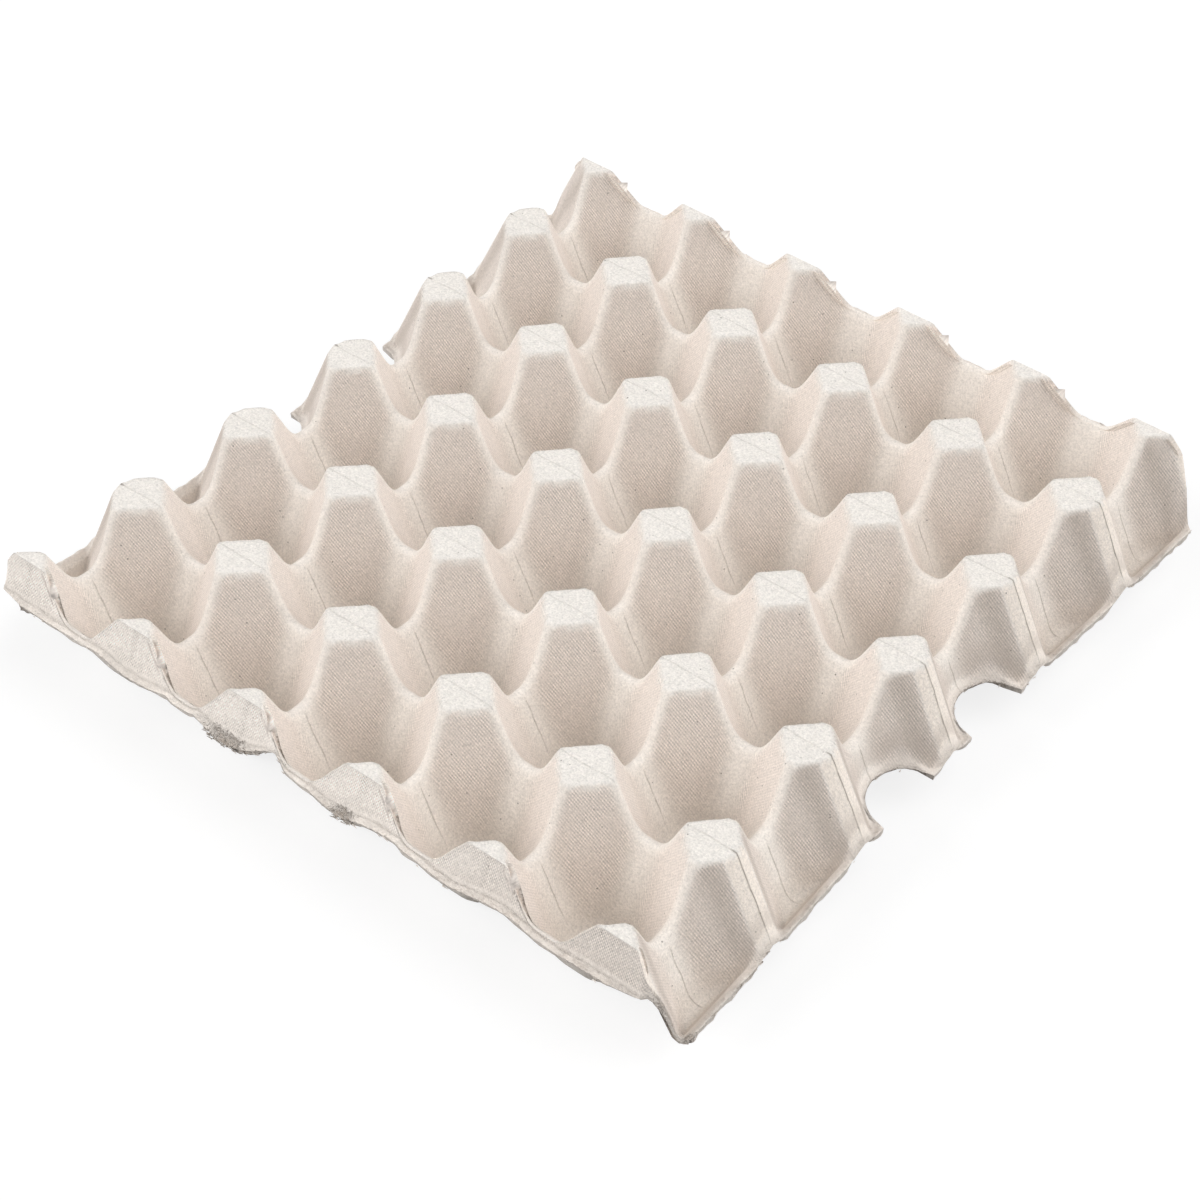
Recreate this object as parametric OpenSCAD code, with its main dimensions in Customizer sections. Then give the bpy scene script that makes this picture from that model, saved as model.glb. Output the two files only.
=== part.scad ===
// Moulded pulp egg tray, millimetres, Z up, resting on the undersides of its cell floors at Z = 0.
// X runs across the tray to the two flanged sides, Y runs along it to the two end walls, and the
// origin is under the middle of the tray. The tray is one closed shell of even thickness. Its upper
// face is a field of square posts and rounded cells, and its under face is the same field set
// inward by the pulp thickness.

/* [Layout] */
// Egg cells across the tray, between the flanged sides
cells_across = 5; // [2:1:5]
// Egg cells along the tray, between the end walls
cells_along = 6; // [2:1:6]
// Spacing of the posts across the tray
pitch_across = 48; // [46:0.2:52]
// Spacing of the posts along the tray
pitch_along = 50.2; // [46:0.2:54]

/* [Posts] */
// Height of the post tops above the table
post_height = 48; // [44:0.5:52]
// Width across the flats of a square post top
top_width = 16.4; // [14:0.2:18]
// Rounding of the four ridges that run down a post
ridge_radius = 3.8; // [3.6:0.1:5]
// Steepness of the post flanks, drop over run
flank_slope = 3; // [2.6:0.1:3.6]

/* [Cells] */
// Depth of the dips between neighbours across the tray, below the post tops
row_dip = 17; // [13:0.5:20]
// Depth of the dips between neighbours along the tray, below the post tops
column_dip = 19.5; // [15:0.5:23]
// Rounding along the crest of the wall between two cells
crest_radius = 3; // [2.8:0.1:3.6]
// Steepness of the walls between cells, drop over run
wall_slope = 2.1; // [1.9:0.1:2.6]

/* [Sides] */
// Reach of the side flange beyond the outer posts
side_reach = 22.8; // [21.4:0.2:27]
// Height of the side flange above the table
side_height = 15.5; // [12:0.5:18]
// Height of the valley floors between the outer posts
valley_height = 7; // [5:0.5:8]
// Steepness of the walls from the dips down to those floors, drop over run
valley_slope = 2.2; // [2:0.1:3]
// Steepness of the lip that rises from those floors to the side flange
lip_slope = 2; // [1.6:0.1:2.4]
// Steepness of the flat outer face of each outer post, drop over run
strip_slope = 2.1; // [2.1:0.05:2.6]
// Turn of the two halves of that face away from its middle line, sideways run to outward run
strip_turn = 0.3; // [0.2:0.05:0.4]
// Radius of the finger notches in the side flange
notch_radius = 14; // [8:0.5:15]

/* [Ends] */
// Depth of the dips along an end wall, below the post tops
end_dip = 14; // [11:0.5:17]
// Lean of an end wall, from its dips up to the post tops
end_draft = 4.3; // [2:0.1:6]
// Height of the lower edge of an end wall under its half posts
end_height = 29; // [22:0.5:30]
// How far the tray stands back at its corners
corner_cut = 8.5; // [3:0.5:10]

/* [Pulp] */
// Thickness of the pulp
pulp = 1.8; // [1.6:0.1:2.2]

/* [Hidden] */

// The plan is a lattice of quads. Each quad has a post at one corner, a cell at the opposite corner
// and a dip, or saddle, at each of the other two.
columns = 2 * (cells_across + 1);
rows = 2 * cells_along;
half_width = cells_across * pitch_across / 2;
half_length = cells_along * pitch_along / 2;

// Rings of points around each post and around each cell, and steps along a ring within one quad
rings = 3;
upper_steps = 3;
under_steps = 2;

root_two = sqrt(2);
flank_run = sqrt(1 + flank_slope * flank_slope) / flank_slope;
strip_rise = sqrt(1 + strip_slope * strip_slope * (1 + strip_turn * strip_turn));
strip_start = top_width / 2;
column_crest = post_height - column_dip;
end_crest = post_height - end_dip;
end_run = end_draft / end_dip;
end_rise = sqrt(1 + end_run * end_run);
lip_rise = sqrt(1 + lip_slope * lip_slope);

// Least drop of an end wall below the under face
end_lip = 1;

// Width of the level edge of the side flange, along the rim and around the finger notches
flange_edge = 2;

// Depths over which two meeting faces blend into one another
top_blend = 1.4;
strip_blend = 1.5;
wall_blend = 8;
floor_blend = 5;
lip_blend = 3;

function soft_max(a, b, blend) =
    let (share = max(blend - abs(a - b), 0) / blend)
    max(a, b) + share * share * blend / 4;

function soft_min(a, b, blend) = -soft_max(-a, -b, blend);

// Smooth step from 0 to 1
function ease(value) =
    let (share = min(max(value, 0), 1))
    share * share * (3 - 2 * share);

// Half-width, across the flats, of the round-cornered square that passes through a point at the
// distances u and v from the post centre
function square_reach(u, v, radius) =
    let (
        far = (u + v) / root_two,
        near = abs(u - v) / root_two,
        gap = far - near
    )
    gap < radius
        ? radius + (far + near - sqrt(2 * radius * radius - gap * gap)) / 2
        : far;

// Distance from the post centre, along a ridge, at which that square has a given half-width
function ridge_distance(reach) = root_two * (reach - ridge_radius) + ridge_radius;

function flank_height(u, v, inset) =
    let (reach = square_reach(u, v, ridge_radius - inset * flank_run))
    post_height - flank_slope * (reach - top_width / 2 + inset * flank_run);

function strip_height(u, v, inset) =
    post_height - strip_slope * (u + strip_turn * v - strip_start) - inset * strip_rise;

// Profile of a wall between cells at a distance from its crest line
function wall_height(distance, crest, slope, inset) =
    let (
        cosine = 1 / sqrt(1 + slope * slope),
        radius = crest_radius - inset,
        turn = radius * slope * cosine,
        drop = distance < turn
            ? radius - sqrt(radius * radius - distance * distance)
            : radius * (1 - cosine) + slope * (distance - turn)
    )
    crest - inset - drop;

// Distance from the crest line at which the wall comes down to a given height
function wall_foot(height, crest, slope) =
    let (cosine = 1 / sqrt(1 + slope * slope))
    crest_radius * slope * cosine + (crest - crest_radius * (1 - cosine) - height) / slope;

// Distance of a point beside an outer post from the rim, or from the edge of its notch
function rim_gap(u, v, j) =
    let (gap = side_reach - u)
    is_notched(j) ? min(gap, norm([gap, span_y(j) - v]) - notch_radius) : gap;

// Floor of an outer valley, and the lip that rises from it to the level side flange
function side_base(gap, inset) =
    let (
        lip = side_height - lip_slope * (gap - flange_edge) - inset * lip_rise,
        trough = soft_max(valley_height - inset, lip, lip_blend)
    )
    soft_min(side_height - inset, trough, lip_blend / 2);

// Height of the moulded face in a quad, at the distances u and v from its post, with no inset for
// the upper face and the pulp thickness as inset for the under face
function face_height(i, j, u, v, inset) =
    let (
        side = is_side(i),
        flank = flank_height(u, v, inset),
        post = side ? soft_min(flank, strip_height(u, v, inset), strip_blend) : flank,
        across = wall_height(u, column_crest, side ? valley_slope : wall_slope, inset),
        along = wall_height(v, row_crest(j), wall_slope, inset),
        walls = side ? across : soft_max(across, along, wall_blend),
        base = side ? side_base(rim_gap(u, v, j), inset) : pulp - inset,
        bowl = soft_max(soft_max(post, walls, wall_blend), base, floor_blend)
    )
    soft_min(post_height - inset, bowl, top_blend);

// Distance of an end wall from the last line of posts, found in a few steps from the height at
// which the wall cuts the moulded face
function end_setback(i, j, u, inset, v = 0, count = 6) =
    let (
        height = face_height(i, j, u, v, inset),
        corner = is_side(i) ? corner_cut * pow(u / side_reach, 2) : 0,
        target = max(end_run * (height + inset - end_crest), corner) + inset * end_rise
    )
    count == 0 ? v : end_setback(i, j, u, inset, (v + target) / 2, count - 1);

// Lattice lines, counted from the lower left corner. Odd columns and even rows pass through posts.
function line_x(i) =
    i == 0 ? -half_width - side_reach
    : i == columns ? half_width + side_reach
    : (i - 1) * pitch_across / 2 - half_width;

function line_y(j) = j * pitch_along / 2 - half_length;

function post_column(i) = i % 2 == 1 ? i : i + 1;
function cell_column(i) = i % 2 == 1 ? i + 1 : i;
function post_row(j) = j % 2 == 0 ? j : j + 1;
function cell_row(j) = j % 2 == 0 ? j + 1 : j;

function is_side(i) = i == 0 || i == columns - 1;
function is_end(j) = j == 0 || j == rows - 1;
function row_crest(j) = post_height - (is_end(j) ? end_dip : row_dip);
function span_x(i) = line_x(i + 1) - line_x(i);
function span_y(j) = line_y(j + 1) - line_y(j);

// The notched valleys are the ones nearest the middle of each side
function is_notched(j) = abs(cell_row(j) - rows / 2) < 1.5;

// Reach of the side flange at a distance from the post row, with the notch where there is one
function reach_at(j, v) =
    let (distance = span_y(j) - v)
    is_notched(j) && distance < notch_radius
        ? side_reach - sqrt(notch_radius * notch_radius - distance * distance)
        : side_reach;

// Half-widths of the rings around a post: on its top, below its edge, and at the foot of the ridge
function post_ring(ring) =
    ring == 1 ? top_width / 2 - 1.6
    : ring == 2 ? top_width / 2 + 0.7
    : (top_width / 2 + row_dip / flank_slope) * 0.97;

// Distance of a ring from the post centre along the ridge
function on_ridge(ring, span, side) =
    side && ring == rings
        ? min(strip_start + (post_height - side_height) / strip_slope, span - 0.6)
        : min(ridge_distance(post_ring(ring)), span * (0.75 + 0.05 * ring));

// Distance of a ring from the cell centre along the line that comes down from a dip: at the rim of
// the flat floor, at the top of its fillet, and at the crest
function on_valley(ring, span, crest) =
    ring == 1 ? max(span - wall_foot(pulp - floor_blend, crest, wall_slope), 0.15 * span)
    : ring == 2 ? max(span - wall_foot(pulp + floor_blend, crest, wall_slope), 0.3 * span)
    : span - crest_radius;

// The same in an outer valley: at the edge of the flange, at the foot of its lip, and halfway up the
// wall to the dip
function on_trough(ring) =
    ring == 1 ? flange_edge
    : ring == 2 ? flange_edge + (side_height - valley_height) / lip_slope
    : side_reach - wall_foot((column_crest + valley_height) / 2, column_crest, valley_slope);

// Distance of a ring from the middle of a valley, along the edge of the side flange
function on_edge(ring, j) =
    is_notched(j)
        ? notch_radius * sin(90 * ring / rings)
        : span_y(j) * ring / (rings + 1);

// Share of the way from the cell centre to the saddle line at which a flank comes down to a height
function flank_share(across, along, height) =
    let (
        whole = across + along,
        foot = root_two * (top_width / 2 + (post_height - height) / flank_slope)
    )
    min(max(2 - 2 * foot / whole, 0.3), 0.8);

// The same share for each ring, with fixed shares in an outer valley
function on_flank(ring, i, j) =
    is_side(i) ? [0.3, 0.68, 0.86][ring - 1]
    : ring == 1 ? flank_share(span_x(i), span_y(j), pulp - floor_blend)
    : let (upper = flank_share(span_x(i), span_y(j), pulp + floor_blend))
        ring == 2 ? upper : (1 + upper) / 2;

// Distances from the post of a point inside a quad, by ring and step. Rings are counted from the
// post to the cell, and steps from the saddle along X to the saddle along Y.
function inner_offset(i, j, ring, step, steps) =
    let (
        across = span_x(i),
        along = span_y(j),
        saddle = rings + 1,
        share = steps == 2 ? 0.5 : (step == 1 ? 0.27 : 0.73),
        edge = [across * (1 - share), along * share]
    )
    ring < saddle
        ? let (
            reach = post_ring(ring),
            long = steps == 2 ? reach / root_two : (2 * reach - ridge_radius) / root_two,
            short = root_two * reach - long
        )
        [step == 1 ? long : short, step == 1 ? short : long]
        : ring == saddle
            ? edge
            : let (scale = on_flank(2 * saddle - ring, i, j))
            [across - scale * (across - edge[0]), along - scale * (along - edge[1])];

// Point of one face at the distances u and v from the post of a quad. An end wall pushes the points
// of its quads back from the last line of posts.
function face_point(i, j, u, v, inset) =
    let (
        along = span_y(j),
        near = is_side(i) ? u * reach_at(j, v) / side_reach : u,
        back = is_end(j) ? end_setback(i, j, near, inset) : 0,
        deep = back + v * (along - back) / along,
        x = line_x(post_column(i)) + (post_column(i) == i ? near : -near),
        y = line_y(post_row(j)) + (post_row(j) == j ? deep : -deep)
    )
    [x, y, face_height(i, j, near, deep, inset)];

// Points of one face: lattice crossings, then row lines, then column lines, then inside the quads
function face_points(steps, inset) = [
    for (j = [0:rows], i = [0:columns])
        let (
            a = min(i, columns - 1),
            b = min(j, rows - 1),
            u = i == post_column(a) ? 0 : span_x(a),
            v = j == post_row(b) ? 0 : span_y(b)
        )
        face_point(a, b, u, v, inset),
    for (j = [0:rows], i = [0:columns - 1], ring = [1:rings])
        let (
            b = min(j, rows - 1),
            span = span_x(i),
            side = is_side(i),
            on_post = j == post_row(b)
        )
        face_point(
            i, b,
            on_post ? on_ridge(ring, span, side)
                : span - (side ? on_trough(ring) : on_valley(ring, span, column_crest)),
            on_post ? 0 : span_y(b),
            inset
        ),
    for (j = [0:rows - 1], i = [0:columns], ring = [1:rings])
        let (
            a = min(i, columns - 1),
            span = span_y(j),
            on_post = i == post_column(a),
            at_edge = i == 0 || i == columns
        )
        face_point(
            a, j,
            on_post ? 0 : span_x(a),
            on_post ? on_ridge(ring, span, false)
                : span - (at_edge ? on_edge(ring, j) : on_valley(ring, span, row_crest(j))),
            inset
        ),
    for (j = [0:rows - 1], i = [0:columns - 1], ring = [1:2 * rings + 1], step = [1:steps - 1])
        let (offset = inner_offset(i, j, ring, step, steps))
        face_point(i, j, offset[0], offset[1], inset)
];

// Numbers of the points in that order
row_base = (rows + 1) * (columns + 1);
column_base = row_base + (rows + 1) * columns * rings;
inner_base = column_base + rows * (columns + 1) * rings;

function crossing(i, j) = j * (columns + 1) + i;
function row_number(i, j, ring) = row_base + (j * columns + i) * rings + ring - 1;
function column_number(i, j, ring) = column_base + (j * (columns + 1) + i) * rings + ring - 1;
function inner_number(i, j, ring, step, steps) =
    inner_base + ((j * columns + i) * (2 * rings + 1) + ring - 1) * (steps - 1) + step - 1;

function point_number(i, j, ring, step, steps) =
    let (saddle = rings + 1, last = 2 * saddle)
    ring == 0 ? crossing(post_column(i), post_row(j))
    : ring == last ? crossing(cell_column(i), cell_row(j))
    : step > 0 && step < steps ? inner_number(i, j, ring, step, steps)
    : ring == saddle
        ? (step == 0 ? crossing(cell_column(i), post_row(j)) : crossing(post_column(i), cell_row(j)))
    : ring < saddle
        ? (step == 0 ? row_number(i, post_row(j), ring) : column_number(post_column(i), j, ring))
    : step == 0
        ? column_number(cell_column(i), j, last - ring)
        : row_number(i, cell_row(j), last - ring);

// Turns a face over where the quad is a mirror image, so that every face looks outward
function wound(face, turned) = turned ? [face[2], face[1], face[0]] : face;

// Triangles of one face of the shell
function face_triangles(steps, first, turned) = [
    for (j = [0:rows - 1], i = [0:columns - 1])
        let (mirrored = (post_column(i) == i) == (post_row(j) == j))
        for (ring = [0:2 * rings + 1], step = [0:steps - 1])
            let (
                a = first + point_number(i, j, ring, step, steps),
                b = first + point_number(i, j, ring, step + 1, steps),
                c = first + point_number(i, j, ring + 1, step + 1, steps),
                d = first + point_number(i, j, ring + 1, step, steps),
                over = mirrored == turned,
                pair = step < steps / 2 ? [[a, b, c], [a, c, d]] : [[a, b, d], [b, c, d]]
            )
            for (face = pair)
                if (face[0] != face[1] && face[1] != face[2] && face[0] != face[2])
                    wound(face, over)
];

// Numbers of the points along a flanged side and along an end wall
function side_numbers(i) = [
    for (j = [0:rows - 1])
        for (number = concat(
            [crossing(i, j)],
            [for (ring = [1:rings]) column_number(i, j, j % 2 == 1 ? ring : rings + 1 - ring)]
        ))
            number,
    crossing(i, rows)
];

function end_numbers(j) = [
    for (i = [0:columns - 1])
        for (number = concat(
            [crossing(i, j)],
            [for (ring = [1:rings]) row_number(i, j, i % 2 == 1 ? ring : rings + 1 - ring)]
        ))
            number,
    crossing(columns, j)
];

// Lower edge of an end wall, under each point of its upper edge. It rises a little under the dips.
function end_edge(upper, under, numbers, inset) = [
    for (number = numbers)
        let (
            point = upper[number],
            outward = sign(point[1]),
            share = (point[0] + half_width) / pitch_across,
            offset = abs(share - round(share)) * 2,
            dip = end_crest - pulp - end_lip,
            edge = end_height + max(dip - end_height, 0) * ease(offset),
            height = min(edge, under[number][2] - end_lip),
            reach = abs(point[1]) + end_run * (point[2] - height) - inset * end_rise
        )
        [point[0], outward * reach, height]
];

// Triangles of the ribbon between two lines of points
function ribbon(one, other, turned) = [
    for (k = [0:len(one) - 2])
        for (face = [[one[k], one[k + 1], other[k + 1]], [one[k], other[k + 1], other[k]]])
            wound(face, turned)
];

function shifted(numbers, first) = [for (number = numbers) number + first];
function counted(first, count) = [for (k = [0:count - 1]) first + k];

module tray() {
    upper = face_points(upper_steps, 0);
    under = face_points(under_steps, pulp);
    upper_count = len(upper);
    under_first = upper_count;
    near_end = end_numbers(0);
    far_end = end_numbers(rows);
    count = len(near_end);
    edge_first = upper_count + len(under);
    near_outer = counted(edge_first, count);
    near_inner = counted(edge_first + count, count);
    far_outer = counted(edge_first + 2 * count, count);
    far_inner = counted(edge_first + 3 * count, count);
    left = side_numbers(0);
    right = side_numbers(columns);
    points = concat(
        upper,
        under,
        end_edge(upper, under, near_end, 0),
        end_edge(upper, under, near_end, pulp),
        end_edge(upper, under, far_end, 0),
        end_edge(upper, under, far_end, pulp)
    );
    corners = [
        for (k = [0, count - 1])
            for (wall = [
                [near_end[k], near_outer[k], near_inner[k], under_first + near_end[k], k > 0],
                [far_end[k], far_outer[k], far_inner[k], under_first + far_end[k], k == 0]
            ])
                for (face = [[wall[0], wall[1], wall[2]], [wall[0], wall[2], wall[3]]])
                    wound(face, wall[4])
    ];
    faces = concat(
        face_triangles(upper_steps, 0, false),
        face_triangles(under_steps, under_first, true),
        ribbon(left, shifted(left, under_first), true),
        ribbon(right, shifted(right, under_first), false),
        ribbon(near_end, near_outer, false),
        ribbon(near_outer, near_inner, false),
        ribbon(near_inner, shifted(near_end, under_first), false),
        ribbon(far_end, far_outer, true),
        ribbon(far_outer, far_inner, true),
        ribbon(far_inner, shifted(far_end, under_first), true),
        corners
    );
    color("#d9d0c4")
        polyhedron(points, faces, convexity = 12);
}

tray();
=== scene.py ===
import math
import bpy
import numpy as np
from mathutils import Matrix, Vector


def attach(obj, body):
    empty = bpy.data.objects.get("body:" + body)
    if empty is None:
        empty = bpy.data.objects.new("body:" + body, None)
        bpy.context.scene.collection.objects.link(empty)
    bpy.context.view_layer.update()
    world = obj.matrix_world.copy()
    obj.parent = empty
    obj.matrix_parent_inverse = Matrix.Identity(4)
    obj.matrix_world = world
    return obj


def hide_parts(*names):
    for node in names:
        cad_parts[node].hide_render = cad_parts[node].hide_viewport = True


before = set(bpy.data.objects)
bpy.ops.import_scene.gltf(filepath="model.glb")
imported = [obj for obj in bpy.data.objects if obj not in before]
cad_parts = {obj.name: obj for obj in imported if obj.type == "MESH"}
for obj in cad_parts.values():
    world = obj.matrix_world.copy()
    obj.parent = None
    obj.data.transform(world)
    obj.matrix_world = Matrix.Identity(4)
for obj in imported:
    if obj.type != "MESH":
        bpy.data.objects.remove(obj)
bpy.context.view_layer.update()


# The camera looks down on one corner of the tray from just under a metre, as the tray lies on a table,
# so the half posts of one end are on the left and the notched side is on the right.
turn, lift, roll = math.radians(39.12), math.radians(43.69), math.radians(0.19)
film_width, picture_width, focal_pixels = 36, 1200, 2727.5
camera_distance, moved_left, moved_down = 0.91435, 0.00359, 0.0355
level_of_tops = Vector((0, 0, 0.048))
back = Vector((math.sin(turn) * math.cos(lift), -math.cos(turn) * math.cos(lift), math.sin(lift)))
right = (-back).cross(Vector((0, 0, 1))).normalized()
up = right.cross(-back)
lens_right = right * math.cos(roll) + up * math.sin(roll)
lens_up = up * math.cos(roll) - right * math.sin(roll)
camera = bpy.data.objects.new("camera", bpy.data.cameras.new("camera"))
bpy.context.scene.collection.objects.link(camera)
camera.data.sensor_width = film_width
camera.data.lens = focal_pixels / picture_width * film_width
place = back * camera_distance - lens_right * moved_left - lens_up * moved_down + level_of_tops
camera.matrix_world = Matrix((
    (lens_right.x, lens_up.x, back.x, place.x),
    (lens_right.y, lens_up.y, back.y, place.y),
    (lens_right.z, lens_up.z, back.z, place.z),
    (0, 0, 0, 1)))
camera.data.clip_start, camera.data.clip_end = 0.05, 20
bpy.context.scene.camera = camera


# The tray is one sheet of paper pulp, sucked out of the vat onto a mould covered with wire cloth and dried.
# It has thirty cells between blunt square posts. All lengths here are in millimetres until the mesh is done.
cells_x, cells_y = 5, 6
pitch_x, pitch_y = 48.0, 50.2
half_x, half_y = cells_x * pitch_x / 2, cells_y * pitch_y / 2
post_height, top_width, ridge_radius, flank_slope = 48.0, 16.4, 2.8, 3.0
row_crest, column_crest, end_crest = 31.0, 28.5, 34.0
crest_radius, wall_slope = 2.4, 2.1
side_reach, side_height, valley_height = 22.8, 15.5, 7.0
valley_slope, lip_slope, flange_edge = 2.2, 2.0, 2.0
strip_start, strip_slope, strip_turn = 8.2, 2.1, 0.3
notch_radius, end_lean, corner_cut = 14.0, 4.3 / 14, 8.5
edge_blend, rim_blend, lip_blend, floor_blend, wall_blend = 0.9, 1.5, 3.0, 5.0, 8.0
pulp = 1.8
millimetre = 0.001


def soft_max(a, b, blend):
    share = np.maximum(blend - np.abs(a - b), 0) / blend
    return np.maximum(a, b) + share ** 2 * blend / 4


def soft_min(a, b, blend):
    return -soft_max(-a, -b, blend)


def wall(distance, crest, slope):
    cosine = 1 / math.sqrt(1 + slope ** 2)
    turn_off = crest_radius * slope * cosine
    rounded = crest_radius - np.sqrt(np.maximum(crest_radius ** 2 - distance ** 2, 0))
    straight = crest_radius * (1 - cosine) + slope * (distance - turn_off)
    return crest - np.where(distance < turn_off, rounded, straight)


def post_flank(reach):
    return post_height - flank_slope * (reach - top_width / 2)


def outer_strip(u, v):
    return post_height - strip_slope * (u + strip_turn * v - strip_start)


def mould(u, v, side, end, rim_gap):
    """Height of the mould at distances u and v from the nearest line of posts across and along."""
    far, near = (u + v) / math.sqrt(2), np.abs(u - v) / math.sqrt(2)
    gap = np.clip(far - near, 0, ridge_radius)
    ridge = ridge_radius + (far + near - np.sqrt(2 * ridge_radius ** 2 - gap ** 2)) / 2
    flank = post_flank(np.where(far - near < ridge_radius, ridge, far))
    post = np.where(side, soft_min(flank, outer_strip(u, v), edge_blend), flank)
    across = np.where(side, wall(u, column_crest, valley_slope), wall(u, column_crest, wall_slope))
    along = wall(v, np.where(end, end_crest, row_crest), wall_slope)
    walls = np.where(side, across, soft_max(across, along, wall_blend))
    lip = side_height - lip_slope * (rim_gap - flange_edge)
    trough = soft_min(side_height, soft_max(valley_height, lip, lip_blend), rim_blend)
    base = np.where(side, trough, pulp)
    bowl = soft_max(soft_max(post, walls, wall_blend), base, floor_blend)
    return soft_min(post_height, bowl, edge_blend)


# The sheet starts as a flat grid, with rows at both ends that become the end walls.
steps, side_steps, wall_steps = 17, 20, 7
count_x = 2 * (side_steps + cells_x * steps)
count_y = 2 * (wall_steps + cells_y * steps)
bpy.ops.object.select_all(action="DESELECT")
bpy.ops.mesh.primitive_grid_add(x_subdivisions=count_x, y_subdivisions=count_y, size=1)
tray = bpy.context.object
tray.name = tray.data.name = "pulp_tray"
flat = np.zeros(len(tray.data.vertices) * 3)
tray.data.vertices.foreach_get("co", flat)
flat = flat.reshape(-1, 3)
index_x = np.rint((flat[:, 0] + 0.5) * count_x) - count_x / 2
index_y = np.rint((flat[:, 1] + 0.5) * count_y) - count_y / 2
from_x, from_y = np.abs(index_x), np.abs(index_y)
sign_x, sign_y = np.where(index_x < 0, -1, 1), np.where(index_y < 0, -1, 1)

# Across: half cells, and past the outer posts the two troughs with their lips and finger notches.
side = from_x > cells_x * steps
crowding = 0.38


def spaced(line, pitch, post_first):
    """Distance of a line of the grid from the tray's middle. The lines stand closer around the posts."""
    half = np.floor(line / steps)
    part = line / steps - half
    to_post = (half % 2 == 0) != post_first
    part = np.where(to_post, 1 - part, part)
    part = (1 - crowding) * part + crowding * part ** 2
    return (half + np.where(to_post, 1 - part, part)) * pitch / 2


plain_x = spaced(np.minimum(from_x, cells_x * steps), pitch_x, False)
plain_y = spaced(np.minimum(from_y, cells_y * steps), pitch_y, True)
u = np.abs(np.mod(plain_x, pitch_x) - pitch_x / 2)
aside = np.abs(plain_y - pitch_y / 2)
notch = np.sqrt(np.maximum(notch_radius ** 2 - aside ** 2, 0))
rim = side_reach - notch
u = np.where(side, (from_x - cells_x * steps) / side_steps * rim, u)
x = sign_x * np.where(side, half_x + u, plain_x)
no_edge = 99.0
by_notch = np.hypot(side_reach - u, aside) - notch_radius
rim_gap = np.minimum(np.where(aside < pitch_y / 2, by_notch, no_edge), side_reach - u)

# Along: half cells, and at the ends the wall that leans in over the last line of posts.
# The corners are set back, and the one at the left of the picture is torn back twice as far.
v = np.abs(np.mod(plain_y + pitch_y / 2, pitch_y) - pitch_y / 2)
end = plain_y > half_y - pitch_y / 2 - 0.01
torn_back = np.where((sign_x < 0) & (sign_y < 0), 2, 1)
corner = np.where(side, corner_cut * (u / side_reach) ** 2, 0) * torn_back
set_back = np.zeros_like(u)
rounds_to_settle = 8
for _ in range(rounds_to_settle):
    lean = end_lean * (mould(u, set_back, side, end, rim_gap) - end_crest)
    set_back = (set_back + np.maximum(lean, corner)) / 2
deep = np.where(end, set_back + v * (pitch_y / 2 - set_back) / (pitch_y / 2), v)
y = sign_y * np.where(end, half_y - deep, plain_y)
z = mould(u, deep, side, end, rim_gap)


def ramp(value, start, stop):
    """0 up to start and 1 from stop on. It falls where stop is the lower of the two."""
    return np.clip((value - start) / (stop - start), 0, 1)


def hill(value, middle, width):
    return np.exp(-((value - middle) / width) ** 2)


# The end walls hang from that line as panels set in a little below the edge, and end in a narrow flange.
# At the near end the flange waves, sags in two places where the wet sheet tore, and is lost between them.
wall_row = np.clip(from_y - cells_y * steps, 0, wall_steps).astype(int)
drop = np.array((0, 0.05, 0.16, 0.36, 0.58, 0.8, 0.96, 1.0))[wall_row]
set_in = np.array((0, 0.45, 0.7, 0.7, 0.7, 0.6, 0.2, 0.0))[wall_row]
flange = np.array((0, 0, 0, 0, 0, 0, 0.1, 1.7))[wall_row]
tears = ((-31.0, 1.8, 9.0), (18.0, 1.0, 5.0))  # place, depth, width
near_end = np.where(sign_y < 0, 1.0, 0.0)
sag = near_end * sum(depth * hill(x, at, width) for at, depth, width in tears)
lost_at, lost_width, lost_rise = -10, 8, 2
lost = near_end * hill(x, lost_at, lost_width)
near_level, far_level, wave_height, wave_length = 33.2, 32.5, 1.3, 44.7
wave = wave_height * np.maximum(ramp(x, -95, -80), 0.2) * np.maximum(ramp(x, 112, 87), 0.2)
wavy = near_level - wave * np.cos(2 * math.pi * (x * 31 / 30 + 72) / wave_length)
foot_line = np.where(sign_y < 0, wavy, far_level) + lost_rise * lost - sag * (wall_row == wall_steps)
least_fall = np.where(side, 1.6 + 1.9 * ramp(u, 17, 11), 0.8)
foot_line = np.minimum(foot_line, z - least_fall)
fall = drop * (z - foot_line)
panel = ramp(z - foot_line, 4, 10)
z = z - fall
flange = flange * (1 - lost) * np.where(side, ramp(u, 12, 0), 1)
past_post_x = np.mod(sign_x * plain_x + half_x + pitch_x / 2, pitch_x) - pitch_x / 2
past_post_y = np.mod(sign_y * plain_y + half_y + pitch_y / 2, pitch_y) - pitch_y / 2
leading = past_post_x > 0
y = y + sign_y * (end_lean * fall - set_in * panel * np.where(leading, 1, 0.4) + flange)

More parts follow.
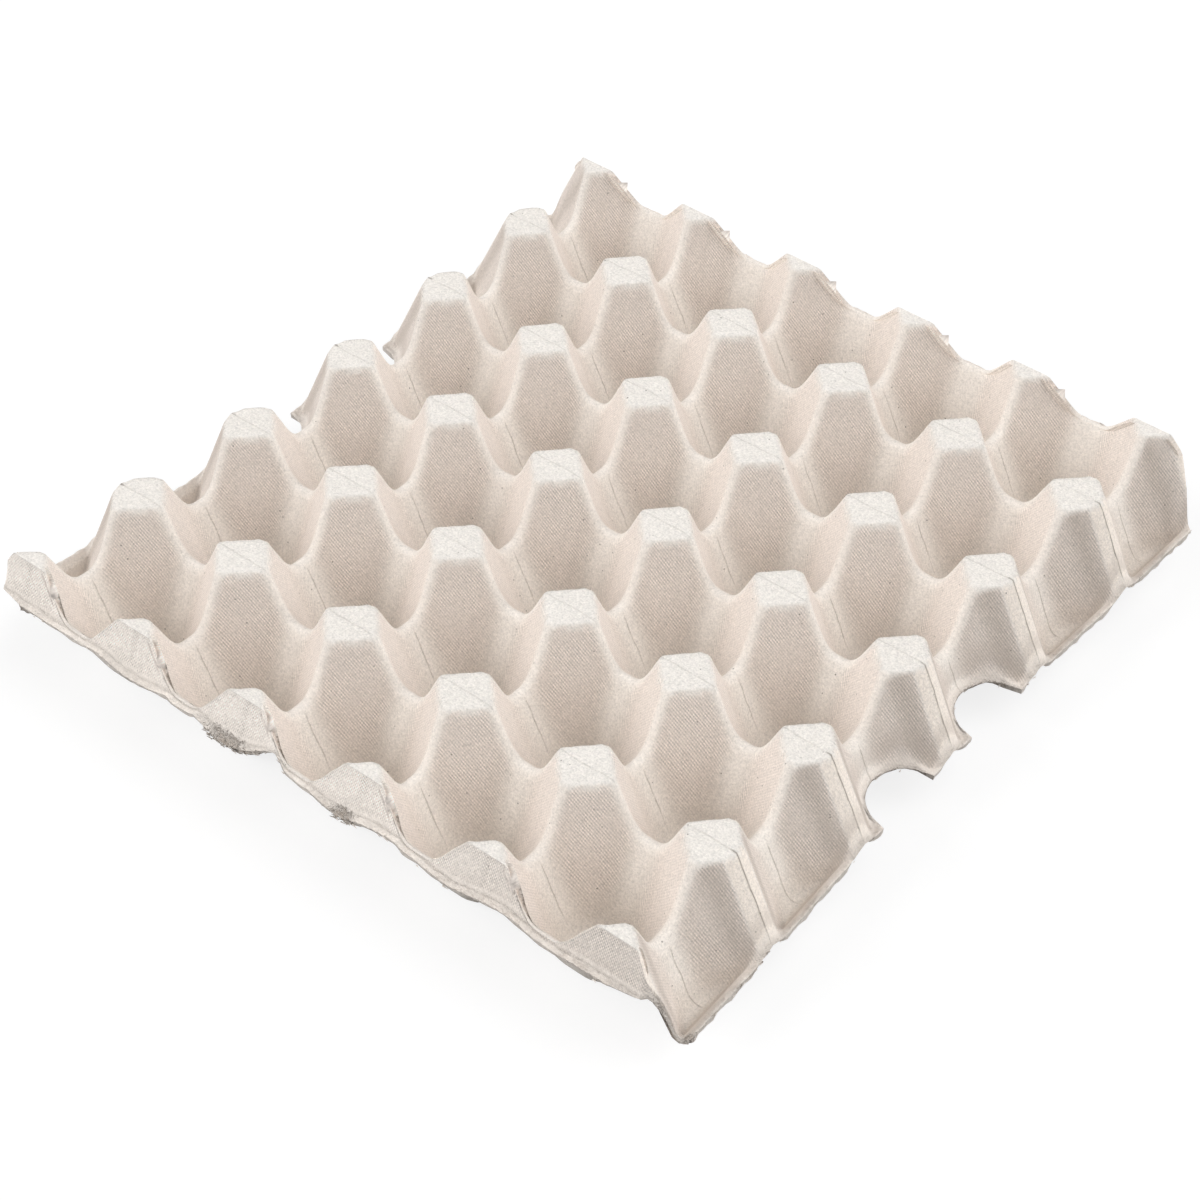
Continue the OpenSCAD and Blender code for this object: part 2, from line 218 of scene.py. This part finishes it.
# The wire cloth marks the flanks and the end faces, and the mould's halves leave seams across the posts' tops,
# down the outer strips and down from the dips. These marks are kept for each point, on the mould's own grid.
falling = drop > 0
turned = np.where(np.where(side, sign_x, past_post_x) * past_post_y > 0, 1.0, 0.0)
flank = post_flank((u + deep) / math.sqrt(2))
strip = outer_strip(u, deep)
beside = ramp(np.minimum(u, deep), 1.2, 2.4) * np.where(side, ramp(strip - flank, -0.36, 0.84), 1)
cloth = hill(z, flank, 4) * beside * np.maximum(ramp(z, 0, 18), 0.2)
cloth = cloth * ramp(z, post_height - 0.4, post_height - 1.2)
on_strip = ramp(flank - strip, -0.6, 0.6) * ramp(z, valley_height + 2, valley_height + 6)
# A painted shade darkens a band down the outer posts' flanks, and a painted light brightens their outer
# strips.
painted_flank_shade_strip_light = cloth * beside * (0.25 + 0.75 * hill(v, 8.5, 3))
painted_flank_shade_strip_light = np.where(side & ~falling, painted_flank_shade_strip_light - on_strip * ramp(z, post_height - 0.6, post_height - 1.6), 0)
cloth = np.where(falling, np.where(wall_row < 6, 1.0, 0.1), np.maximum(cloth, 0.04))
on_top = ramp(z, post_height - 1.0, post_height - 0.2)
seam_reach = 6
on_row = deep < seam_reach
seam = np.where(on_row, on_top * 0.4, 0)
down_strip = 1.3 * ramp(u, side_reach - 0.5, side_reach - 2.5)
seam = np.where(on_row & side & (u > strip_start - 1.5), down_strip, seam)
dip_end = np.where(side, 17, 13)
from_dip = 0.7 * ramp(u, 1.8, 3.3) * ramp(u, dip_end, dip_end - 4)
seam = np.where(~on_row & (v > pitch_y / 2 - seam_reach), from_dip, seam)
seam = np.where(falling, 0, seam)
to_edge = np.where(side, rim_gap, 30.0)
to_edge = np.where(falling, np.minimum(to_edge, z - foot_line), to_edge)

# Convex edges get a painted highlight and creases a painted shade, and some torn edges are stained brown.
place_on_grid = ((index_y + count_y / 2) * (count_x + 1) + index_x + count_x / 2).astype(int)
sheet = np.zeros((count_y + 1) * (count_x + 1))
sheet[place_on_grid] = z
sheet = np.pad(sheet.reshape(count_y + 1, count_x + 1), 1, mode="edge")
middle = sheet[1:-1, 1:-1]
bend = sheet[1:-1, :-2] + sheet[1:-1, 2:] + sheet[:-2, 1:-1] + sheet[2:, 1:-1] - 4 * middle
full_bend = 0.9
painted_light_and_stains = np.clip(-bend.ravel()[place_on_grid] / full_bend, -1, 1)
right_side = side & (sign_x > 0)
stain = np.where(right_side & (aside < notch_radius), ramp(to_edge, 0.8, 0) * 0.5, 0)
for at, _, width in tears:
    torn_here = near_end * hill(x, at + width * 0.3, width)
    stain = np.maximum(stain, 0.65 * torn_here * falling * ramp(to_edge, 2.75, 0.25))
crease = np.array((0, 0.55, 0.35, 0.1, 0, 0, 0, 0))[wall_row] * (leading & ~side)
stain = np.maximum(stain, crease * near_end * ramp(z, 44, 40))
for at, width, depth in ((16.0, 2.8, 5.5), (22.5, 2.2, 7.0)):
    at_corner = right_side * end * near_end * hill(u, at, width) * ramp(v, 1.2 * depth, 0.2 * depth)
    stain = np.maximum(stain, at_corner * np.where(falling, 0.4, 0.6))
layered_at = -120
stain = np.maximum(stain, right_side * hill(y, layered_at, 20) * ramp(to_edge, 1, 0) * 0.25)
edge_scale = 10


def keep_marks(mesh, marks):
    for name, values in marks.items():
        kept = mesh.attributes.new(name, "FLOAT_VECTOR", "POINT")
        kept.data.foreach_set("vector", values.astype(np.float32).ravel())


keep_marks(tray.data, {
    "mould": np.column_stack((x, y, z)),
    "finish": np.column_stack((cloth, seam, np.clip(to_edge / edge_scale, 0, 1))),
    "turned": np.column_stack((turned, on_top, falling * 1.0)),
    "painted_light_and_stains": np.column_stack((painted_light_and_stains, stain, painted_flank_shade_strip_light))})

# Drying has drawn the sheet a little out of true: the ends spread, the middle is drawn in, and no two posts
# stand quite alike.
chance = np.random.default_rng(30)
post_x = np.rint(np.clip((sign_x * plain_x + half_x) / pitch_x, 0, cells_x)).astype(int)
post_y = np.rint((sign_y * plain_y + half_y) / pitch_y).astype(int)
hold = (np.cos(math.pi * u / pitch_x) * np.cos(math.pi * v / pitch_y)) ** 2 * ramp(z, 14, 34)
post_shift = 0.5
shift = chance.uniform(-post_shift, post_shift, (3, cells_x + 1, cells_y + 1))
x = x + shift[0, post_x, post_y] * hold
y = y + shift[1, post_x, post_y] * hold * np.where(end, 0, 1)
z = z + shift[2, post_x, post_y] * hold * 0.6
ends_moved, ends_spread, middle_drawn, drawn_length = -2.0, 4.0, 1.2, 90
bow = (y / half_y) ** 2
drawn = middle_drawn * x / half_x * np.maximum(0, 1 - (y / drawn_length) ** 2)
x = x + bow * (ends_moved + ends_spread * x / half_x) - drawn
lump = np.sin(x / 31 + 1.0) * np.sin(y / 27 + 0.4)
lump = lump + 0.6 * np.sin(x / 13 + y / 17) * np.sin(y / 11 - x / 19 + 2)
lump_height, fray_width = 0.25, 2.5
z = z + lump_height * lump * ramp(z, 4, 24)
fray = np.sin(x * 1.9 + y * 0.7) + np.sin(y * 1.3 - x * 0.6 + 1) + 0.8 * np.sin(x * 0.43 + y * 0.37 + 2)
frayed = ramp(to_edge, fray_width, 0)
z = z + np.where(side, 0.08, 0.13) * fray * frayed
x = x + np.where(side, sign_x * 0.07 * fray * frayed, 0)
z = np.maximum(z, pulp)
sheet_points = np.column_stack((x, y, z))
tray.data.vertices.foreach_set("co", (sheet_points * millimetre).ravel())
tray.data.update()

# The sheet is even in thickness and only swells and thins where its edge is torn.
thickest = 2.8
weights = (pulp + frayed * (np.where(falling, -0.4, 0.3) + 0.15 * fray)) / thickest
swell = tray.vertex_groups.new(name="thickness")
for number, weight in enumerate(weights.tolist()):
    swell.add((number,), weight, "REPLACE")
thick = tray.modifiers.new("pulp", "SOLIDIFY")
thick.thickness, thick.offset = thickest * millimetre, -1
thick.vertex_group = "thickness"
bpy.ops.object.modifier_apply(modifier="pulp")
tray.vertex_groups.clear()
bpy.ops.object.shade_smooth_by_angle(angle=math.radians(65))

# Loose fibres stand out from the torn edges, most of them along the near edges and in the tears.
# Each row gives the edge that they stand on, their number and how brown they are.
right_rim = right_side & (from_x == count_x / 2) & ~falling
left_rim = side & (sign_x < 0) & (from_x == count_x / 2) & ~falling
near_foot = (from_y == count_y / 2) & ~side & (sign_y < 0)
far_foot = (from_y == count_y / 2) & ~side & (sign_y > 0)
edge_sets = (
    (right_rim, 50, 0.15),
    (right_rim & (np.abs(y - layered_at) < 18), 40, 0.4),
    (left_rim, 30, 0.15),
    (near_foot, 80, 0.15),
    (far_foot, 40, 0.15),
    (near_foot & (np.abs(x + 29) < 11), 120, 0.55),
    (near_foot & (np.abs(x - 19) < 4), 40, 0.55))
roots, ways, browns = [], [], []
for where, number, brown in edge_sets:
    picked = chance.choice(np.flatnonzero(where), number)
    on_side, level = side[picked], np.zeros(number)
    out = np.column_stack((np.where(on_side, sign_x[picked], 0), np.where(on_side, 0, sign_y[picked]), level))
    along = np.column_stack((-out[:, 1], out[:, 0], level)) * chance.choice((-1, 1), (number, 1))
    scatter = np.column_stack((chance.uniform(-0.7, 0.7, (number, 2)), chance.uniform(-1.3, 0.0, number)))
    roots.append(sheet_points[picked] - out * 0.3 + scatter)
    way = along * chance.uniform(0.8, 1, (number, 1)) + out * chance.uniform(-0.1, 0.12, (number, 1))
    ways.append(way + np.array((0, 0, 1)) * chance.uniform(-0.14, 0.1, (number, 1)))
    browns.append(np.clip(chance.normal(brown, 0.2, number), 0, 1))
roots, ways, browns = np.concatenate(roots), np.concatenate(ways), np.concatenate(browns)
ways /= np.linalg.norm(ways, axis=1, keepdims=True)
lengths = chance.uniform(0.8, 2.4, (len(roots), 1))
curls = chance.normal(0, 0.16, (len(roots), 3))
across_way = np.cross(ways, (0.3, 0.2, 1.0))
across_way /= np.linalg.norm(across_way, axis=1, keepdims=True)
upward = np.cross(across_way, ways)
rings, corners, taper = 4, 3, 0.7
points = []
for ring in range(rings):
    reach = ring / (rings - 1)
    heart = roots + ways * lengths * reach + curls * reach ** 2
    radius = chance.uniform(0.16, 0.34, (len(roots), 1)) * (1 - taper * reach)
    for number in range(corners):
        angle = 2 * math.pi * number / corners
        points.append(heart + (across_way * math.cos(angle) + upward * math.sin(angle)) * radius)
per_fibre = rings * corners
faces = []
for first in range(0, len(roots) * per_fibre, per_fibre):
    for start in range(first, first + per_fibre - corners, corners):
        for number in range(corners):
            one, other = start + number, start + (number + 1) % corners
            faces.append((one, one + corners, other + corners, other))
    faces.append(tuple(range(first, first + corners)))
    faces.append(tuple(range(first + per_fibre - 1, first + per_fibre - 1 - corners, -1)))
lowest = 0.1
points = np.stack(points, axis=1).reshape(-1, 3)
points[:, 2] = np.maximum(points[:, 2], lowest)
torn_mesh = bpy.data.meshes.new("torn_fibres")
torn_mesh.from_pydata((points * millimetre).tolist(), [], faces)
torn_fibres = bpy.data.objects.new("torn_fibres", torn_mesh)
bpy.context.scene.collection.objects.link(torn_fibres)
brown_points = np.repeat(browns, per_fibre)
keep_marks(torn_mesh, {
    "mould": points, "finish": points * 0, "turned": points * 0,
    "painted_light_and_stains": np.column_stack((brown_points * 0, brown_points, brown_points * 0))})
torn_fibres.select_set(True)
tray.select_set(True)
bpy.context.view_layer.objects.active = tray
bpy.ops.object.join()

# Dried pulp is matt and off-white, with the weave of the wire cloth, fine fibres, small pimples and
# dark specks.
grey_pulp = bpy.data.materials.new("grey_pulp")
grey_pulp.use_nodes = True
pulp_nodes, pulp_links = grey_pulp.node_tree.nodes, grey_pulp.node_tree.links
shader = pulp_nodes["Principled BSDF"]
shader.inputs["Specular IOR Level"].default_value = 0.15


def add(kind, feeds=(), **settings):
    made = pulp_nodes.new(kind)
    for key, value in settings.items():
        setattr(made, key, value)
    for socket, feed in (feeds.items() if isinstance(feeds, dict) else enumerate(feeds)):
        if isinstance(feed, bpy.types.NodeSocket):
            pulp_links.new(feed, made.inputs[socket])
        elif feed is not None:
            made.inputs[socket].default_value = feed
    return made


def reckon(operation, *feeds):
    return add("ShaderNodeMath", feeds, operation=operation).outputs[0]


def times(first, *others):
    for other in others:
        first = reckon("MULTIPLY", first, other)
    return first


def plus(first, *others):
    for other in others:
        first = reckon("ADD", first, other)
    return first


def about_zero(value):
    return reckon("SUBTRACT", value, 0.5)


def band(value, start, stop, low_end=0.0, high_end=1.0):
    feeds = (value, start, stop, low_end, high_end)
    return add("ShaderNodeMapRange", feeds, interpolation_type="SMOOTHSTEP").outputs[0]


def blend(share, first, second, how="MIX"):
    colours = [feed if isinstance(feed, bpy.types.NodeSocket) else (*feed, 1) for feed in (first, second)]
    feeds = {0: share, 6: colours[0], 7: colours[1]}
    return add("ShaderNodeMix", feeds, data_type="RGBA", blend_type=how).outputs[2]


def mark(name):
    """The three values that every point keeps under this name."""
    values = add("ShaderNodeAttribute", attribute_name=name).outputs["Vector"]
    return tuple(add("ShaderNodeSeparateXYZ", (values,)).outputs)


on_mould = add("ShaderNodeAttribute", attribute_name="mould").outputs["Vector"]
place_x, place_y, _ = mark("mould")
cloth_share, seam_share, edge_share = mark("finish")
turned_share, top_share, end_share = mark("turned")
painted_edge_light_and_crease_shade, stain_share, painted_flank_shade_share = mark("painted_light_and_stains")


def noise(scale, detail=2.0, rough=0.5, vector=None):
    feeds = {"Vector": vector or on_mould, "Scale": scale, "Detail": detail, "Roughness": rough}
    return add("ShaderNodeTexNoise", feeds).outputs["Fac"]


# The weave: two sets of wires on each face, one of them fainter, with a pitch of about a millimetre.
wire_pitch = 1.05
drift = times(noise(0.05, 1.0), 6.0)


def wires(*course):
    course = tuple(part * 2 * math.pi / wire_pitch for part in course)
    phase = add("ShaderNodeVectorMath", (on_mould, course), operation="DOT_PRODUCT").outputs["Value"]
    return reckon("SINE", plus(phase, drift))


def woven(run_x, run_y, rise, faint):
    return plus(wires(run_x, run_y, rise), times(wires(-run_x, -run_y, rise), faint))


half_turn = 1 / math.sqrt(2)
weave_a = woven(half_turn, half_turn, 0.72, 0.3)
weave_b = woven(half_turn, -half_turn, 0.72, 0.3)
weave_end = woven(1.05, 0.0, 0.85, 0.6)
weave = add("ShaderNodeMix", (turned_share, None, weave_a, weave_b)).outputs[0]
weave = add("ShaderNodeMix", (end_share, None, weave, weave_end)).outputs[0]
woven_mark = times(weave, cloth_share)
worn = band(noise(0.09, 3.0), 0.32, 0.62, 0.45, 1.0)
broken = band(noise(0.8, 2.0), 0.32, 0.68, 0.4, 1.35)
cloth_mark = times(woven_mark, worn, broken)

# The pulp itself, from clouds over the whole sheet down to grain, and what lies in it or was left on it.
fibres = noise(0.9, 4.0, 0.65)
grain = noise(1.6, 2.0, 0.6)
cloud = noise(0.022, 3.0)
flakes = noise(0.55, 3.0, 0.7)
pimple = band(noise(0.3, 0.0), 0.79, 0.87)
speck_cells = add("ShaderNodeTexVoronoi", {"Vector": on_mould, "Scale": 0.3})
speck_chance = add("ShaderNodeSeparateColor", (speck_cells.outputs["Color"],)).outputs[1]
speck = times(band(speck_cells.outputs["Distance"], 0.11, 0.06), band(speck_chance, 0.66, 0.95))
seam_wobble = times(about_zero(noise(0.12, 2.0)), 1.6)
seam_wave = reckon("SINE", times(plus(place_y, seam_wobble), math.pi * 2 / pitch_y))
seam_gap = reckon("ABSOLUTE", times(seam_wave, pitch_y / 2 / math.pi))
seam_groove = times(band(seam_gap, 0.38, 0.1), seam_share)
seam_line = times(seam_groove, band(noise(0.2, 2.0), 0.3, 0.55, 0.35, 1.0))
on_object = add("ShaderNodeTexCoord").outputs["Object"]
layer_scale = add("ShaderNodeVectorMath", (on_object, (300, 300, 2300)), operation="MULTIPLY").outputs[0]
layers = noise(1.0, 4.0, 0.7, layer_scale)
torn = band(edge_share, 0.22, 0.03)
rough = plus(times(top_share, 0.22), times(end_share, 0.3))
ragged = plus(times(fibres, 0.9), times(grain, 0.9))
patch = band(plus(stain_share, reckon("SUBTRACT", ragged, 0.9)), 0.3, 0.6)

# Colours, each laid over the ones before it.
colour = blend(band(cloud, 0.35, 0.65), (0.83, 0.77, 0.71), (0.865, 0.81, 0.75))
# The end panels carry a painted light and shade: near white on the left, darker towards the right.
panels = blend(band(place_x, 20, 125), (0.985, 0.915, 0.845), (0.74, 0.67, 0.61))
for share, strength, tone in (
        (cloth_share, 0.8, (0.80, 0.715, 0.655)),
        (top_share, 0.8, (0.85, 0.815, 0.77)),
        (end_share, 0.85, panels),
        # painted highlight on convex edges
        (painted_edge_light_and_crease_shade, 0.1, (0.92, 0.875, 0.825)),
        # painted shade on the outer posts' flanks, and painted light on their outer strips
        (painted_flank_shade_share, 0.6, (0.50, 0.43, 0.375)),
        (painted_flank_shade_share, -0.7, (0.94, 0.845, 0.755)),
        # painted shade in creases
        (painted_edge_light_and_crease_shade, -0.25, (0.60, 0.54, 0.48))):
    colour = blend(times(share, strength), colour, tone)
mottle = plus(times(about_zero(fibres), 0.45), times(about_zero(grain), 0.6))
# The weave's grooves are darkened as painted shade; the mottle and the flakes are the pulp's own tone.
groove_shade_and_mottle = plus(times(cloth_mark, 0.2), mottle, times(about_zero(flakes), rough), 1.0)
colour = blend(1.0, colour, add("ShaderNodeCombineColor", (groove_shade_and_mottle, groove_shade_and_mottle, groove_shade_and_mottle)).outputs[0], "MULTIPLY")
# Painted shade in the troughs, on the lip's inner slope a few millimetres in from the rim.
painted_trough_shade = times(band(edge_share, 0.26, 0.36), band(edge_share, 0.7, 0.42), reckon("SUBTRACT", 1.0, end_share))
rim_band = times(band(edge_share, 0.28, 0.2), band(flakes, 0.3, 0.7, 0.25, 0.75))
gaps = times(torn, times(band(layers, 0.5, 0.62, 0.0, 0.3), band(place_x, -60, 60, 0.4, 1.0)))
brown = times(patch, band(layers, 0.36, 0.6, 0.45, 1.0))
for share, tone in (
        (times(speck, 0.75), (0.16, 0.13, 0.11)),
        (times(seam_line, 0.5), (0.33, 0.28, 0.235)),
        (times(painted_trough_shade, 0.4), (0.58, 0.50, 0.44)),
        (rim_band, (0.90, 0.825, 0.755)),
        (gaps, (0.42, 0.35, 0.29)),
        (times(brown, 0.62), (0.34, 0.265, 0.205))):
    colour = blend(share, colour, tone)
pulp_links.new(colour, shader.inputs["Base Color"])
pulp_links.new(band(fibres, 0.3, 0.7, 0.86, 0.98), shader.inputs["Roughness"])

# Relief, in millimetres.
relief = plus(
    times(woven_mark, 0.021), times(fibres, 0.22), times(grain, 0.12), times(pimple, 0.14),
    times(flakes, rough, 1.7), times(seam_groove, -0.33), times(torn, layers), times(patch, ragged, 0.6))
bumps = add("ShaderNodeBump", {"Strength": 1.0, "Distance": millimetre, "Height": relief})
pulp_links.new(bumps.outputs[0], shader.inputs["Normal"])
tray.data.materials.append(grey_pulp)
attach(tray, "root")
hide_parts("tray")


# The studio: a white paper floor that keeps a soft shadow, and even light from above and from both sides.
# To the camera the floor and the room beyond are white, without more light on the tray.
bpy.ops.object.select_all(action="DESELECT")
bpy.ops.mesh.primitive_plane_add(size=12, location=(0, 0, -0.0005))
floor = bpy.context.object
floor.name = "floor"
paper = bpy.data.materials.new("white_paper")
paper.use_nodes = True
nodes, links = paper.node_tree.nodes, paper.node_tree.links
sheet_of_paper = nodes["Principled BSDF"]
sheet_of_paper.inputs["Roughness"].default_value = 1
seen = nodes.new("ShaderNodeLightPath")
glow = nodes.new("ShaderNodeEmission")
glow.inputs["Strength"].default_value = 0.8
tone = nodes.new("ShaderNodeMix")
tone.data_type = "RGBA"
tone.inputs["A"].default_value = (0.45, 0.45, 0.45, 1)
tone.inputs["B"].default_value = (0.22, 0.22, 0.22, 1)
both = nodes.new("ShaderNodeAddShader")
choose = nodes.new("ShaderNodeMixShader")
links.new(seen.outputs["Is Camera Ray"], tone.inputs["Factor"])
links.new(tone.outputs["Result"], sheet_of_paper.inputs["Base Color"])
links.new(sheet_of_paper.outputs[0], both.inputs[0])
links.new(glow.outputs[0], both.inputs[1])
links.new(seen.outputs["Is Camera Ray"], choose.inputs[0])
links.new(sheet_of_paper.outputs[0], choose.inputs[1])
links.new(both.outputs[0], choose.inputs[2])
links.new(choose.outputs[0], nodes["Material Output"].inputs["Surface"])
floor.data.materials.append(paper)

world = bpy.data.worlds.new("studio")
bpy.context.scene.world = world
world.use_nodes = True
nodes, links = world.node_tree.nodes, world.node_tree.links
room = nodes["Background"]
room.inputs["Color"].default_value = (1, 1, 1, 1)
room.inputs["Strength"].default_value = 0.2
white = nodes.new("ShaderNodeBackground")
white.inputs["Color"].default_value = (1, 1, 1, 1)
seen = nodes.new("ShaderNodeLightPath")
choose = nodes.new("ShaderNodeMixShader")
links.new(seen.outputs["Is Camera Ray"], choose.inputs[0])
links.new(room.outputs[0], choose.inputs[1])
links.new(white.outputs[0], choose.inputs[2])
links.new(choose.outputs[0], nodes["World Output"].inputs["Surface"])
for name, azimuth, elevation, strength, spread in (
        ("lamp_left", -46, 30, 2.1, 45),
        ("lamp_right", 122, 30, 1.74, 70),
        ("lamp_high", 129, 65, 0.65, 45),
        ("lamp_front", 39, 65, 0.2, 60)):
    lamp = bpy.data.objects.new(name, bpy.data.lights.new(name, "SUN"))
    lamp.data.energy = strength
    lamp.data.angle = math.radians(spread)
    bpy.context.scene.collection.objects.link(lamp)
    a, e = math.radians(azimuth), math.radians(elevation)
    towards = Vector((math.sin(a) * math.cos(e), -math.cos(a) * math.cos(e), math.sin(e)))
    lamp.rotation_mode = "QUATERNION"
    lamp.rotation_quaternion = towards.to_track_quat("Z", "Y")

bpy.context.scene.view_settings.view_transform = "Standard"
